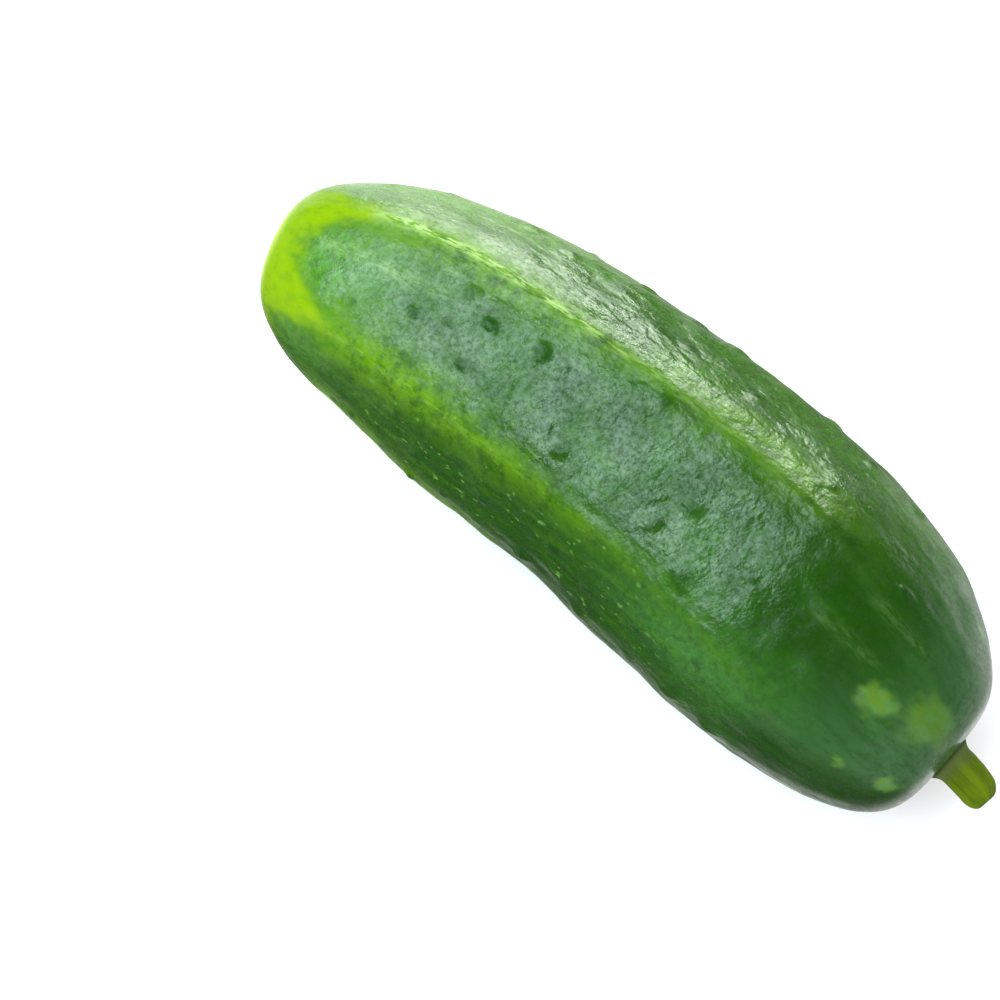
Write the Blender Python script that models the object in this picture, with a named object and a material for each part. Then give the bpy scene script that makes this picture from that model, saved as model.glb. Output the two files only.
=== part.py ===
"""A ridged, warty cucumber lying on its belly: the fruit, its stub of stem and the corky blossom scar.

Metres, +Z up. The fruit lies along X with its stem at +X, its back bowed towards +Y and its belly
pressed flat on z = 0. A place on the skin is two numbers: how far along X it is from the blossom tip,
and its angle round the fruit, from straight up towards +Y.
"""

import math
import random

import bmesh
import bpy
from mathutils import Vector

MM = 0.001

# The fruit: its length, the distance from its centreline to a face, and how its ends round off.
FRUIT_LENGTH = 118.0 * MM
FACE_RADIUS = 19.9 * MM
STEM_END_SWELL = 0.12
BLOSSOM_TAPER = 77.0 * MM
BLOSSOM_BLUNTNESS = 3.3
STEM_TAPER = 33.0 * MM
STEM_TAPER_POWER = 1.3
STEM_FLATNESS = 0.25

# The centreline: its bow in plan, the kick that straightens it at the stem, and its slight rise to the stem.
BOW = 7.0 * MM
BOW_POWER = 2.25
KICK = 2.1 * MM
KICK_START = 0.85
RISE = 1.65 * MM

# The flattish faces round the fruit, with a soft rib where two of them meet.
FACE_ANGLES = tuple(math.radians(degrees) for degrees in (-12.0, 49.0, 113.0, 180.0, 229.0, 287.0))
FACE_FLATNESS = 7.0
ROUND_END = 18.0 * MM
RIB_CREST = 0.3 * MM
RIB_HALF_WIDTH = math.radians(4.0)
RIB_TURN = math.radians(-6.0)
RIB_TURN_START = 78.0 * MM
RIB_TURN_LENGTH = 30.0 * MM

# How far the belly is pressed flat by the surface it lies on.
BELLY_PRESS = 0.45 * MM

# The warts: those that the look of the near side needs, then the rest by a seeded draw.
NEAR_WARTS = (
    (17.0, -25.0), (25.0, -14.0), (30.0, -9.0), (30.0, 5.0), (35.0, -21.0), (35.0, -3.0),
    (43.0, 0.0), (53.0, -26.0), (45.0, 54.0), (60.0, 12.0), (57.0, 46.0), (72.0, -12.0),
    (69.0, -25.0), (77.0, -34.0), (30.0, 70.0), (54.0, 79.0), (61.0, 79.0), (83.0, 32.0),
    (68.0, 45.0), (99.0, 23.0),
)
WART_SEED = 21
WART_TRIES = 900
WART_RADIUS = 2.3 * MM
WART_HEIGHTS = (0.4 * MM, 0.75 * MM)
WART_SPACING = 7.0 * MM
SPARSE_START = 78.0 * MM
SPARSE_SPACING = 13.0 * MM
WART_FIRST = 10.0 * MM
WART_LAST = 106.0 * MM
NEAR_SIDE = (math.radians(-52.0), math.radians(60.0))
BELLY_CLEAR = math.radians(34.0)

# The net of faces that carries the skin.
COLUMNS = 68
ROW_STEP = 2.15 * MM
MEASURE_STEPS = 4000

# The corky scar at the blossom tip, in its dimple, and the gap between separate pieces.
GAP = 0.3 * MM
SCAR_RADIUS = 5.9 * MM
DIMPLE_DEPTH = 1.1 * MM
SCAR_EDGE = 0.45 * MM
SCAR_SIDES = 24
NUB_RADIUS = 1.9 * MM
NUB_RISE = 1.0 * MM

# The stub of stem, which leaves the fruit along its centreline and bends a little.
STEM_LENGTH = 7.7 * MM
STEM_RADIUS = 2.85 * MM
STEM_FLARE = 0.45 * MM
STEM_FLARE_LENGTH = 1.6 * MM
STEM_CUT_ROUND = 1.0 * MM
STEM_BEND = math.radians(-4.0)
STEM_ANGLES = 5
STEM_ANGLE_DEPTH = 0.05
STEM_SIDES = 20
STEM_RINGS = 9
SEAT_RADIUS = STEM_RADIUS + STEM_FLARE + 0.2 * MM

# The middle of the whole part's box, measured from the middle of the fruit's length.
BOX_MIDDLE_X = 3.43 * MM
BOX_MIDDLE_Y = 6.58 * MM

SKIN_GREEN = (0.040, 0.165, 0.022, 1.0)
STEM_GREEN = (0.150, 0.260, 0.020, 1.0)
CORK_TAN = (0.560, 0.440, 0.300, 1.0)


def smooth_step(value):
    """0 below 0, 1 above 1, and a smooth rise between."""
    value = min(max(value, 0.0), 1.0)
    return value * value * (3.0 - 2.0 * value)


def body_radius(along):
    """From the centreline to the middle of a face."""
    blossom = min(along / BLOSSOM_TAPER, 1.0)
    stem = min((FRUIT_LENGTH - along) / STEM_TAPER, 1.0)
    swell = 1.0 + STEM_END_SWELL * (along / FRUIT_LENGTH - 0.5)
    blossom_round = (1.0 - (1.0 - blossom) ** BLOSSOM_BLUNTNESS) ** (1.0 / BLOSSOM_BLUNTNESS)
    stem_round = (1.0 - (1.0 - stem) ** STEM_TAPER_POWER) ** STEM_FLATNESS
    return FACE_RADIUS * swell * blossom_round * stem_round


def bow(along):
    """The centreline's y."""
    across = 2.0 * along / FRUIT_LENGTH - 1.0
    kick = max(0.0, along / FRUIT_LENGTH - KICK_START) / (1.0 - KICK_START)
    return BOW * (1.0 - abs(across) ** BOW_POWER) + KICK * kick * kick


def rise(along):
    """The centreline's height from its middle."""
    return RISE * (2.0 * along / FRUIT_LENGTH - 1.0)


def heading(along):
    """The centreline's direction in plan, as an angle from X."""
    step = 0.01 * MM
    before = max(along - step, 0.0)
    after = min(along + step, FRUIT_LENGTH)
    return math.atan2(bow(after) - bow(before), after - before)


def rib_turn(along):
    """How far the ribs have wound round the fruit."""
    return RIB_TURN * smooth_step((along - RIB_TURN_START) / RIB_TURN_LENGTH)


def rib_angles():
    """Where neighbouring faces meet."""
    after = FACE_ANGLES[1:] + (FACE_ANGLES[0] + math.tau,)
    return [(first + second) / 2.0 for first, second in zip(FACE_ANGLES, after)]


def angle_between(first, second):
    """The smaller angle from one direction to another."""
    return abs((first - second + math.pi) % math.tau - math.pi)


def section(along, angle):
    """How far the ribbed section stands out from a circle of the body's radius, as a ratio and a crest."""
    angle -= rib_turn(along)
    ribbed = smooth_step(along / ROUND_END) * smooth_step((FRUIT_LENGTH - along) / ROUND_END)
    facing = (max(0.0, math.cos(angle - face)) ** FACE_FLATNESS for face in FACE_ANGLES)
    ratio = sum(facing) ** (-1.0 / FACE_FLATNESS)
    nearest = min(angle_between(angle, rib) for rib in rib_angles())
    crest = RIB_CREST * math.exp(-((nearest / RIB_HALF_WIDTH) ** 2))
    return 1.0 + ribbed * (ratio - 1.0), ribbed * crest


def skin_radius(along, angle):
    """From the centreline to the skin, without warts."""
    ratio, crest = section(along, angle)
    return body_radius(along) * ratio + crest


def axis_height():
    """The height of the centreline's middle over the surface that the belly is pressed on."""
    places = [percent * FRUIT_LENGTH / 100.0 for percent in range(20, 90)]
    return max(skin_radius(along, math.pi) - rise(along) for along in places) - BELLY_PRESS


def wart_gap(along):
    """The least distance between warts, which is larger towards the stem."""
    sparse = smooth_step((along - SPARSE_START) / (WART_LAST - SPARSE_START))
    return WART_SPACING + (SPARSE_SPACING - WART_SPACING) * sparse


def skin_distance(first, second):
    """How far two places are from each other over the skin."""
    round_way = angle_between(first[1], second[1]) * body_radius((first[0] + second[0]) / 2.0)
    return math.hypot(first[0] - second[0], round_way)


def wart_places():
    """Each wart as its place along, its angle and its height."""
    draw = random.Random(WART_SEED)
    warts = [(along * MM, math.radians(degrees), draw.uniform(*WART_HEIGHTS)) for along, degrees in NEAR_WARTS]
    for _ in range(WART_TRIES):
        place = (draw.uniform(WART_FIRST, WART_LAST), draw.uniform(-math.pi, math.pi))
        height = draw.uniform(*WART_HEIGHTS)
        near_side = NEAR_SIDE[0] < place[1] < NEAR_SIDE[1]
        on_belly = angle_between(place[1], math.pi) < BELLY_CLEAR
        crowded = any(skin_distance(place, other) < wart_gap(place[0]) for other in warts)
        if not (near_side or on_belly or crowded):
            warts.append((*place, height))
    return warts


def row_places():
    """Places along the fruit, evenly spaced over the skin from the scar's rim to the stem's seat."""
    places = [step * FRUIT_LENGTH / MEASURE_STEPS for step in range(MEASURE_STEPS + 1)]
    half = FRUIT_LENGTH / 2.0
    places = [p for p in places if body_radius(p) > (SCAR_RADIUS + GAP if p < half else SEAT_RADIUS)]
    rows = [places[0]]
    travelled = 0.0
    for before, after in zip(places, places[1:]):
        travelled += math.hypot(after - before, body_radius(after) - body_radius(before))
        if travelled >= ROW_STEP:
            rows.append(after)
            travelled = 0.0
    return rows[:-1] + [places[-1]]


def ring_point(along, angle, radius):
    """A point of the ring square to the centreline at this place, from the middle of the fruit's length."""
    across = radius * math.sin(angle)
    turn = heading(along)
    x = along - FRUIT_LENGTH / 2.0 - math.sin(turn) * across
    return Vector((x, bow(along) + math.cos(turn) * across, rise(along) + radius * math.cos(angle)))


def skin_net(warts):
    """Rows of (along, angle), each wart's middle taking the place of the nearest one."""
    rows = row_places()
    angles = [column * math.tau / COLUMNS - math.pi for column in range(COLUMNS)]
    net = [[(along, angle) for angle in angles] for along in rows]
    for along, angle, _ in warts:
        row = min(range(len(rows)), key=lambda index: abs(rows[index] - along))
        column = round((angle + math.pi) * COLUMNS / math.tau) % COLUMNS
        net[row][column] = (along, angle)
    return net


def wart_lift(place, warts):
    """How far the warts raise the skin here."""
    lift = 0.0
    for along, angle, height in warts:
        if abs(along - place[0]) < WART_RADIUS:
            distance = skin_distance(place, (along, angle))
            lift = max(lift, height * max(0.0, 1.0 - (distance / WART_RADIUS) ** 2) ** 2)
    return lift


def build_fruit():
    """The fruit: rings from the dimple's floor over the skin to the stem's seat, closed by flat faces."""
    warts = wart_places()
    surface = -axis_height()
    mesh = bmesh.new()
    net = skin_net(warts)
    rim = net[0][0][0]
    rings = [[ring_point(rim, angle, SCAR_RADIUS + GAP) for _, angle in net[0]]]
    inward = Vector((math.cos(heading(rim)), math.sin(heading(rim)), 0.0)) * DIMPLE_DEPTH
    rings.insert(0, [point + inward for point in rings[0]])
    for row in net[1:]:
        ring = []
        for place in row:
            point = ring_point(*place, skin_radius(*place) + wart_lift(place, warts))
            point.z = max(point.z, surface)
            ring.append(point)
        rings.append(ring)
    verts = [[mesh.verts.new(point) for point in ring] for ring in rings]
    for ring, after in zip(verts, verts[1:]):
        for column in range(COLUMNS):
            beside = (column + 1) % COLUMNS
            mesh.faces.new((ring[column], after[column], after[beside], ring[beside]))
    mesh.faces.new(verts[0])
    mesh.faces.new(reversed(verts[-1]))
    return mesh


def turned(profile, sides, place):
    """A closed turned shape: rings from (distance, radius) pairs, put where place(distance, radius, angle) says."""
    mesh = bmesh.new()
    rings = []
    for distance, radius in profile:
        angles = [side * math.tau / sides for side in range(sides)]
        rings.append([mesh.verts.new(place(distance, radius, angle)) for angle in angles])
    for ring, after in zip(rings, rings[1:]):
        for side in range(sides):
            beside = (side + 1) % sides
            mesh.faces.new((ring[side], after[side], after[beside], ring[beside]))
    mesh.faces.new(rings[0])
    mesh.faces.new(reversed(rings[-1]))
    return mesh


def build_scar():
    """The corky disc in its dimple, slightly domed, with the worn nub of the flower in its middle."""
    rim = row_places()[0]
    turn = heading(rim)
    middle = ring_point(rim, 0.0, 0.0)

    def place(outward, radius, angle):
        across = radius * math.sin(angle)
        x = middle.x - math.cos(turn) * outward - math.sin(turn) * across
        y = middle.y - math.sin(turn) * outward + math.cos(turn) * across
        return Vector((x, y, middle.z + radius * math.cos(angle)))

    edge_top = GAP - DIMPLE_DEPTH + SCAR_EDGE
    face_top = edge_top + 0.2 * MM
    profile = (
        (face_top + NUB_RISE, NUB_RADIUS * 0.45),
        (face_top + NUB_RISE * 0.8, NUB_RADIUS * 0.8),
        (face_top + NUB_RISE * 0.3, NUB_RADIUS),
        (face_top, NUB_RADIUS * 1.3),
        (face_top, SCAR_RADIUS * 0.7),
        (edge_top, SCAR_RADIUS * 0.95),
        (edge_top - 0.15 * MM, SCAR_RADIUS),
        (GAP - DIMPLE_DEPTH, SCAR_RADIUS),
    )
    return turned(profile, SCAR_SIDES, place)


def build_stem():
    """The stub: five-angled, flared where it leaves the fruit, rounded at the cut."""
    start = row_places()[-1]
    base = ring_point(start, 0.0, 0.0)
    turn = heading(start)

    def place(distance, radius, angle):
        lean = turn + STEM_BEND * distance / STEM_LENGTH
        bent = radius * (1.0 + STEM_ANGLE_DEPTH * math.cos(STEM_ANGLES * angle))
        across = bent * math.sin(angle)
        x = base.x + math.cos(lean) * distance - math.sin(lean) * across
        y = base.y + math.sin(lean) * distance + math.cos(lean) * across
        return Vector((x, y, base.z + bent * math.cos(angle)))

    profile = []
    for ring in range(STEM_RINGS + 1):
        distance = GAP + (STEM_LENGTH - GAP) * ring / STEM_RINGS
        flare = STEM_FLARE * max(0.0, 1.0 - distance / STEM_FLARE_LENGTH) ** 2
        to_cut = min((STEM_LENGTH - distance) / STEM_CUT_ROUND, 1.0)
        rounding = 0.35 * (1.0 - math.sqrt(to_cut * (2.0 - to_cut)))
        profile.append((distance, (STEM_RADIUS + flare) * (1.0 - rounding)))
    return turned(profile, STEM_SIDES, place)


def make_material(name, colour, roughness):
    """A plain finish."""
    material = bpy.data.materials.new(name)
    material.use_nodes = True
    shader = material.node_tree.nodes["Principled BSDF"]
    shader.inputs["Base Color"].default_value = colour
    shader.inputs["Roughness"].default_value = roughness
    shader.inputs["Metallic"].default_value = 0.0
    material.diffuse_color = colour
    return material


def add_piece(name, mesh, material, parent):
    """A smooth-shaded object of this mesh, under the empty that carries the whole cucumber."""
    bmesh.ops.recalc_face_normals(mesh, faces=mesh.faces)
    data = bpy.data.meshes.new(name)
    mesh.to_mesh(data)
    mesh.free()
    data.shade_smooth()
    data.set_sharp_from_angle(angle=math.radians(50.0))
    data.materials.append(material)
    piece = bpy.data.objects.new(name, data)
    piece.parent = parent
    bpy.context.scene.collection.objects.link(piece)


def main():
    """Clears the scene and builds the three pieces."""
    for old in list(bpy.data.objects):
        bpy.data.objects.remove(old)
    cucumber = bpy.data.objects.new("cucumber", None)
    cucumber.empty_display_size = FACE_RADIUS
    cucumber.location = (-BOX_MIDDLE_X, -BOX_MIDDLE_Y, axis_height())
    bpy.context.scene.collection.objects.link(cucumber)
    add_piece("fruit", build_fruit(), make_material("skin", SKIN_GREEN, 0.38), cucumber)
    add_piece("stem", build_stem(), make_material("stem green", STEM_GREEN, 0.5), cucumber)
    add_piece("blossom_scar", build_scar(), make_material("dry cork", CORK_TAN, 0.9), cucumber)


main()
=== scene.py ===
"""A short ridged cucumber lying on its belly: its skin, its stub of stem and its corky blossom scar.

Lengths are in millimetres and angles in radians, and a mesh is written in metres. The fruit lies along X
with its stem at +X. A place on the skin is two numbers: how far along the fruit it is from the blossom
tip, and its angle round the fruit, from straight up towards +Y.
"""

import logging
import math
import random
from dataclasses import dataclass, field
from enum import Enum

import bpy
import numpy as np
from mathutils import Matrix, Vector, noise


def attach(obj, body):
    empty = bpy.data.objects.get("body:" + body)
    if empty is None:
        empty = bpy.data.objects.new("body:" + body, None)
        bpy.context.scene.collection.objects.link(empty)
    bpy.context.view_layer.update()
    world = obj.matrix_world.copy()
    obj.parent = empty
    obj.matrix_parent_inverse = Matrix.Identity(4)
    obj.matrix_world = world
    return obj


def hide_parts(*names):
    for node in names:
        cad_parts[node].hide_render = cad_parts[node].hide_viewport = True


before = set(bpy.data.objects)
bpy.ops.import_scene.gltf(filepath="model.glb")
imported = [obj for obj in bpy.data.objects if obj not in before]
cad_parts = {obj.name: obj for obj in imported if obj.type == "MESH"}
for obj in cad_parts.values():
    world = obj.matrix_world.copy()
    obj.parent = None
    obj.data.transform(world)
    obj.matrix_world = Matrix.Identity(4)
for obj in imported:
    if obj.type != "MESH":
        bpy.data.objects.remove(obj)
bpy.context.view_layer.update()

MM = 0.001
Colour = tuple[float, float, float]
Field = np.ndarray
Ramp = tuple[float, float]
Arc = tuple[float, float]
log = logging.getLogger("cucumber")


class Slot(Enum):
    """The record's material slots."""

    SKIN = "skin"
    STEM = "stem"
    CORK = "cork"


def smooth_step(value: Field) -> Field:
    """0 below 0, 1 above 1, and a smooth rise between."""
    value = np.clip(value, 0.0, 1.0)
    return value * value * (3.0 - 2.0 * value)


def hill(distance: Field, width: float) -> Field:
    """1 in the middle, falling away to nothing over a few widths."""
    return np.exp(-((distance / width) ** 2))


def turn_between(first: Field, second: float) -> Field:
    """The signed smaller angle from the second direction to the first."""
    return (first - second + math.pi) % math.tau - math.pi


def rise(value: Field, ramp: Ramp) -> Field:
    """0 up to the ramp's start, then a smooth rise to 1 over its length."""
    return smooth_step((value - ramp[0]) / ramp[1])


def fall(value: Field, ramp: Ramp) -> Field:
    """1 up to the ramp's start, then a smooth fall to 0 over its length."""
    return 1.0 - rise(value, ramp)


def within(angle: Field, arc: Arc) -> Field:
    """1 in the arc's direction, falling away over its reach to either side, both in degrees."""
    return hill(turn_between(angle, math.radians(arc[0])), math.radians(arc[1]))


def straight(along: Field, angle: Field, radius: Field) -> Field:
    """Places as if the centreline were straight, for patterns that follow its length."""
    return np.stack([along, radius * np.sin(angle), radius * np.cos(angle)], axis=-1)


def ripple(points: Field, size: float, octaves: int, shift: float) -> Field:
    """Smooth noise, about -1 to 1.

    Args:
        points: places in millimetres, one row each.
        size: the width of its largest swells, in millimetres.
        octaves: how many finer layers it has.
        shift: moves the pattern, so that two ripples differ.

    Returns:
        One value for each point.
    """
    shifted = points.reshape(-1, 3) / size + shift
    values = [noise.fractal(point, 1.0, 2.0, octaves) for point in shifted.tolist()]
    return np.array(values).reshape(points.shape[:-1])


@dataclass(frozen=True)
class SkinShape:
    """The fruit's form, without warts and wrinkles."""

    length: float = 118.0
    face_radius: float = 19.9
    stem_end_swell: float = 0.12
    blossom_taper: float = 77.0
    blossom_bluntness: float = 3.3
    stem_taper: float = 33.0
    stem_taper_power: float = 1.3
    stem_flatness: float = 0.25
    bow: float = 7.0
    bow_power: float = 2.25
    kick: float = 2.1
    kick_start: float = 0.85
    rise: float = 1.65
    face_degrees: tuple[float, ...] = (-12.0, 49.0, 113.0, 180.0, 229.0, 287.0)
    face_flatness: float = 7.0
    round_end: float = 18.0
    rib_crest: float = 0.3
    rib_half_width: float = math.radians(4.0)
    rib_turn: float = math.radians(-6.0)
    rib_turns: Ramp = (78.0, 30.0)
    rib_lift: float = math.radians(4.0)
    rib_lift_reach: float = math.radians(32.0)
    rib_lift_ends: Ramp = (18.0, 28.0)
    belly_press: float = 0.45
    box_middle: tuple[float, float] = (3.43, 6.58)

    @property
    def faces(self) -> list[float]:
        """The directions of the flattish faces."""
        return [math.radians(degrees) for degrees in self.face_degrees]

    @property
    def ribs(self) -> list[float]:
        """The directions where neighbouring faces meet."""
        after = self.faces[1:] + [self.faces[0] + math.tau]
        return [(first + second) / 2.0 for first, second in zip(self.faces, after)]

    def body_radius(self, along: Field) -> Field:
        """From the centreline to the middle of a face.

        Args:
            along: places along the fruit.

        Returns:
            One radius for each place, without ribs.
        """
        blossom = np.clip(along / self.blossom_taper, 0.0, 1.0)
        stem = np.clip((self.length - along) / self.stem_taper, 0.0, 1.0)
        swell = 1.0 + self.stem_end_swell * (along / self.length - 0.5)
        bluntness = self.blossom_bluntness
        blossom_round = (1.0 - (1.0 - blossom) ** bluntness) ** (1.0 / bluntness)
        stem_round = (1.0 - (1.0 - stem) ** self.stem_taper_power) ** self.stem_flatness
        return self.face_radius * swell * blossom_round * stem_round

    def sideways(self, along: Field) -> Field:
        """The centreline's y.

        Args:
            along: places along the fruit.

        Returns:
            One y for each place.
        """
        across = 2.0 * along / self.length - 1.0
        kick = np.maximum(0.0, along / self.length - self.kick_start) / (1.0 - self.kick_start)
        return self.bow * (1.0 - np.abs(across) ** self.bow_power) + self.kick * kick * kick

    def height(self, along: Field) -> Field:
        """The centreline's height from its middle."""
        return self.rise * (2.0 * along / self.length - 1.0)

    def heading(self, along: Field) -> Field:
        """The centreline's direction in plan, as an angle from X.

        Args:
            along: places along the fruit.

        Returns:
            One angle for each place.
        """
        before = np.maximum(along - 0.01, 0.0)
        after = np.minimum(along + 0.01, self.length)
        return np.arctan2(self.sideways(after) - self.sideways(before), after - before)

    def wound(self, along: Field, angle: Field) -> Field:
        """The angle round the fruit, measured from ribs that wind a little at either end.

        Args:
            along: places along the fruit.
            angle: directions round it.

        Returns:
            The angles less the ribs' winding.
        """
        lift = self.rib_lift * fall(along, self.rib_lift_ends)
        lift = lift * hill(turn_between(angle, self.ribs[0]), self.rib_lift_reach)
        return angle - lift - self.rib_turn * rise(along, self.rib_turns)

    def ribbed(self, along: Field) -> Field:
        """1 along the body, falling to 0 at both ends, where the ribs run out."""
        return smooth_step(along / self.round_end) * smooth_step((self.length - along) / self.round_end)

    def from_rib(self, along: Field, angle: Field) -> Field:
        """The angle from the nearest rib."""
        wound = self.wound(along, angle)
        return np.min([np.abs(turn_between(wound, rib)) for rib in self.ribs], axis=0)

    def skin_radius(self, along: Field, angle: Field) -> Field:
        """From the centreline to the skin, over faces, ribs and crests.

        Args:
            along: places along the fruit.
            angle: directions round it.

        Returns:
            One radius for each place.
        """
        wound = self.wound(along, angle)
        facing = [np.maximum(0.0, np.cos(wound - face)) ** self.face_flatness for face in self.faces]
        ratio = np.sum(facing, axis=0) ** (-1.0 / self.face_flatness)
        ribbed = self.ribbed(along)
        crest = self.rib_crest * hill(self.from_rib(along, angle), self.rib_half_width)
        return self.body_radius(along) * (1.0 + ribbed * (ratio - 1.0)) + ribbed * crest

    def axis_height(self) -> float:
        """The height of the centreline's middle over the surface that the belly is pressed on.

        Returns:
            The height in millimetres.
        """
        along = np.arange(20, 90) * self.length / 100.0
        reach = self.skin_radius(along, np.full_like(along, math.pi)) - self.height(along)
        return float(reach.max()) - self.belly_press

    def points(self, along: Field, angle: Field, radius: Field, ahead: Field = 0.0,
               lean: Field = 0.0) -> Field:
        """Places in the scene, in millimetres.

        Args:
            along: where the section square to the centreline stands.
            angle: the direction round that section.
            radius: how far from the centreline.
            ahead: how far past the section, towards the stem.
            lean: how far the section is turned in plan, in radians.

        Returns:
            An array with x, y and z last.
        """
        turn = self.heading(along) + lean
        across = radius * np.sin(angle)
        middle_x = along - self.length / 2.0 - self.box_middle[0]
        middle_y = self.sideways(along) - self.box_middle[1]
        x = middle_x + np.cos(turn) * ahead - np.sin(turn) * across
        y = middle_y + np.sin(turn) * ahead + np.cos(turn) * across
        z = self.height(along) + radius * np.cos(angle) + self.axis_height()
        return np.stack(np.broadcast_arrays(x, y, z), axis=-1)

    def place_of_radius(self, radius: float, at_stem: bool) -> float:
        """Where along the fruit its body has this radius, near the blossom tip or near the stem.

        Args:
            radius: the body's radius.
            at_stem: whether the stem's end is meant.

        Returns:
            The place along the fruit.
        """
        along = np.linspace(0.0, self.length, 40001)
        wide = along[self.body_radius(along) > radius]
        return float(wide[-1] if at_stem else wide[0])


@dataclass(frozen=True)
class Wart:
    """A wart's place and how far it stands up."""

    along: float
    angle: float
    height: float


@dataclass(frozen=True)
class WartRule:
    """Places the warts: those that the near side's look needs, then the rest by a seeded draw."""

    shape: SkinShape
    near: tuple[tuple[float, float], ...] = (
        (17.0, -25.0), (25.0, -14.0), (30.0, -9.0), (30.0, 5.0), (35.0, -21.0), (35.0, -3.0),
        (43.0, 0.0), (53.0, -26.0), (45.0, 54.0), (60.0, 12.0), (57.0, 46.0), (72.0, -12.0),
        (69.0, -25.0), (77.0, -34.0), (30.0, 70.0), (54.0, 79.0), (61.0, 79.0), (83.0, 32.0),
        (68.0, 45.0), (99.0, 23.0),
    )
    seed: int = 21
    tries: int = 900
    heights: tuple[float, float] = (0.4, 0.75)
    spacing: float = 7.0
    sparse_spacing: float = 13.0
    sparse_start: float = 78.0
    first: float = 10.0
    last: float = 106.0
    near_side: tuple[float, float] = (math.radians(-52.0), math.radians(60.0))
    belly_clear: float = math.radians(34.0)
    mound_radius: float = 1.8
    mound_spread: tuple[float, float] = (0.75, 1.25)
    mound_share: float = 0.60
    tip_radius: float = 0.5
    tip_share: float = 0.04
    flank_part: float = 0.55
    raggedness: float = 0.62
    ragged_size: float = 1.3
    least_grown: float = 0.3
    grown_over: float = 18.0

    def distance(self, along: Field, angle: Field, wart: Wart) -> Field:
        """How far places are from a wart over the skin."""
        radius = self.shape.body_radius((along + wart.along) / 2.0)
        return np.hypot(along - wart.along, turn_between(angle, wart.angle) * radius)

    def warts(self) -> list[Wart]:
        """All the warts, in the order they are placed.

        Returns:
            The named warts, then the drawn ones.
        """
        draw = random.Random(self.seed)
        placed = [
            Wart(along, math.radians(angle), draw.uniform(*self.heights)) for along, angle in self.near
        ]
        for _ in range(self.tries):
            along = draw.uniform(self.first, self.last)
            angle = draw.uniform(-math.pi, math.pi)
            height = draw.uniform(*self.heights)
            sparse = smooth_step((along - self.sparse_start) / (self.last - self.sparse_start))
            gap = self.spacing + (self.sparse_spacing - self.spacing) * sparse
            on_near_side = self.near_side[0] < angle < self.near_side[1]
            on_belly = abs(turn_between(angle, math.pi)) < self.belly_clear
            crowded = any(self.distance(along, angle, other) < gap for other in placed)
            if not (on_near_side or on_belly or crowded):
                placed.append(Wart(along, angle, height))
        return placed

    def relief(self, along: Field, angle: Field) -> tuple[Field, Field]:
        """The warts as they show on the skin.

        Args:
            along: places along the fruit.
            angle: directions round it.

        Returns:
            How far the skin is raised, and how much each place belongs to a wart, which the finish paints
            darker, partly as painted shade.
        """
        base = straight(along, angle, self.shape.body_radius(along))
        ragged = self.raggedness * ripple(base, self.ragged_size, 2, 31.0)
        lift = np.zeros_like(along)
        wart_tone_and_shade = np.zeros_like(along)
        draw = random.Random(self.seed + 1)
        for wart in self.warts():
            reach = self.mound_radius * draw.uniform(*self.mound_spread)
            part = rise(wart.along, (self.first, self.grown_over))
            grown = self.least_grown + (1.0 - self.least_grown) * part
            distance = self.distance(along, angle, wart) + ragged
            mound = np.maximum(0.0, 1.0 - (distance / reach) ** 2) ** 2
            tip = hill(distance, self.tip_radius)
            shape = self.mound_share * mound + self.tip_share * tip
            lift = np.maximum(lift, grown * wart.height * shape)
            wart_tone_and_shade = np.maximum(wart_tone_and_shade, grown * hill(distance, self.flank_part * reach))
        return lift, wart_tone_and_shade


def closed_mesh(name: str, rows: Field) -> bpy.types.Mesh:
    """A mesh of rings, closed by a flat face at each end.

    Args:
        name: the mesh's name.
        rows: ring by ring and point by point, x, y and z in millimetres.

    Returns:
        The mesh in metres, shaded smooth.
    """
    ring_count, side_count = rows.shape[:2]
    index = np.arange(ring_count * side_count).reshape(ring_count, side_count)
    beside = np.roll(index, -1, axis=1)
    quads = np.stack([index[:-1], index[1:], beside[1:], beside[:-1]], axis=-1).reshape(-1, 4)
    faces = quads.tolist() + [index[0].tolist(), index[-1][::-1].tolist()]
    mesh = bpy.data.meshes.new(name)
    mesh.from_pydata((rows.reshape(-1, 3) * MM).tolist(), [], faces)
    mesh.shade_smooth()
    return mesh


def write_field(mesh: bpy.types.Mesh, name: str, values: Field) -> None:
    """Stores a number or a vector at each point of a mesh, for a material to read.

    Args:
        mesh: the mesh.
        name: the field's name.
        values: one number or one row of three for each point.
    """
    if values.ndim == 3:
        attribute = mesh.attributes.new(name, "FLOAT_VECTOR", "POINT")
        attribute.data.foreach_set("vector", values.astype(np.float32).ravel())
    else:
        attribute = mesh.attributes.new(name, "FLOAT", "POINT")
        attribute.data.foreach_set("value", values.astype(np.float32).ravel())


def add_piece(mesh: bpy.types.Mesh, node: str, material: bpy.types.Material) -> bpy.types.Object:
    """Puts a piece in the scene in place of its plain solid.

    Args:
        mesh: its shape.
        node: the solid that it stands for.
        material: its finish.

    Returns:
        The new object.
    """
    piece = bpy.data.objects.new(mesh.name, mesh)
    mesh.materials.append(material)
    bpy.context.scene.collection.objects.link(piece)
    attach(piece, "root")
    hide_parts(node)
    log.info("%s: %d faces for the node %s", piece.name, len(mesh.polygons), node)
    return piece


@dataclass(frozen=True)
class Clouds:
    """Noise: its largest swells in millimetres, its finer layers and their strength, and its range.

    Used as an amount, its values from low to high are brought smoothly to those from to_low to to_high.
    """

    size: float
    detail: float
    roughness: float
    low: float = 0.36
    high: float = 0.62
    to_low: float = 0.0
    to_high: float = 1.0


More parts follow.
